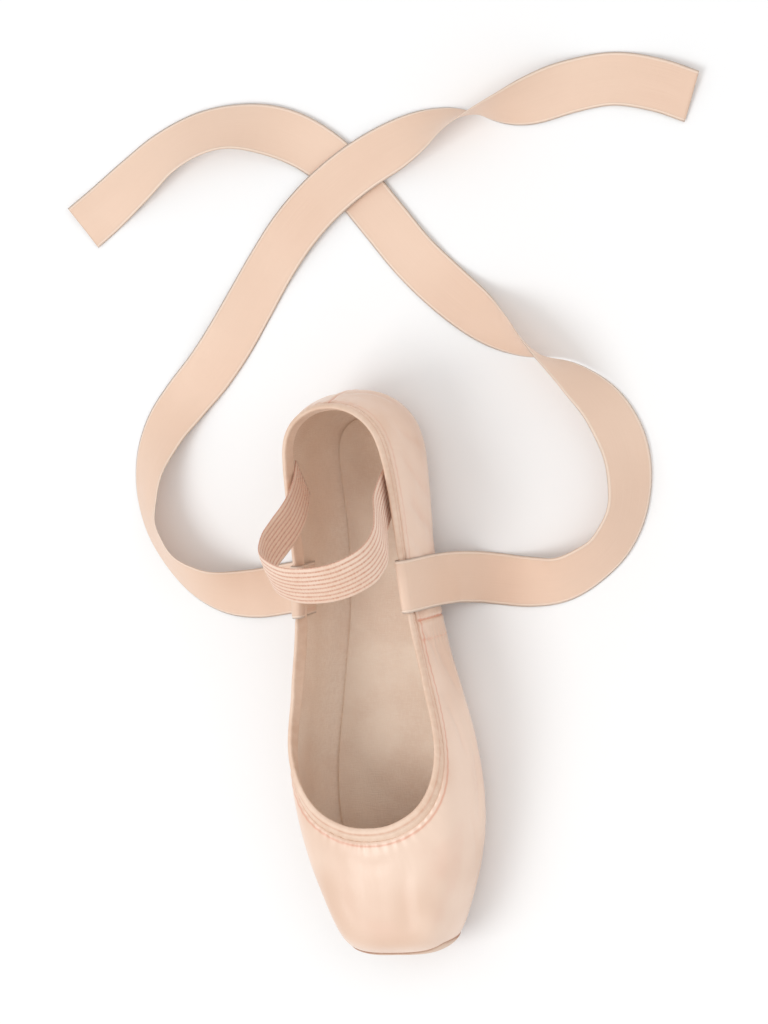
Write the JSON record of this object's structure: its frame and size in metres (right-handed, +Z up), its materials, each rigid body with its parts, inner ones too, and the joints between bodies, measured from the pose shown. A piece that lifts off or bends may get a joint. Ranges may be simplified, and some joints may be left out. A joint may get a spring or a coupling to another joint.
{
  "type": "pointe shoe",
  "caption": "Satin ballet pointe shoe with a stiffened box, flat suede tip, narrow suede outsole, bound collar, instep elastic and long ribbons, standing empty on its sole.",
  "frame": {"origin": "on the floor under the middle of the shoe's length, without its ribbons", "axes": "+Z up, -Y towards the toe, +X towards the wearer's left"},
  "size_m": [0.2904, 0.3706, 0.0928],
  "materials": {
    "satin": "soft peach-pink satin with a broad sheen",
    "outsole_suede": "tan suede leather with a dark burnished edge",
    "insole_board": "plain cream cotton over board",
    "binding_tape": "matt peach-pink bias tape, stitched along its lower edge",
    "tip_suede": "dusty pink-brown suede, scuffed at one corner",
    "ribbed_elastic": "woven elastic with raised ribs along its length",
    "satin_ribbon": "fine satin ribbon with a woven edge"
  },
  "bodies": {
    "root": {"upper": "satin", "outsole": "outsole_suede", "insole": "insole_board", "binding": "binding_tape", "toe_cap": "tip_suede", "elastic": "ribbed_elastic", "ribbon_left": "satin_ribbon", "ribbon_right": "satin_ribbon"}
  },
  "joints": []
}
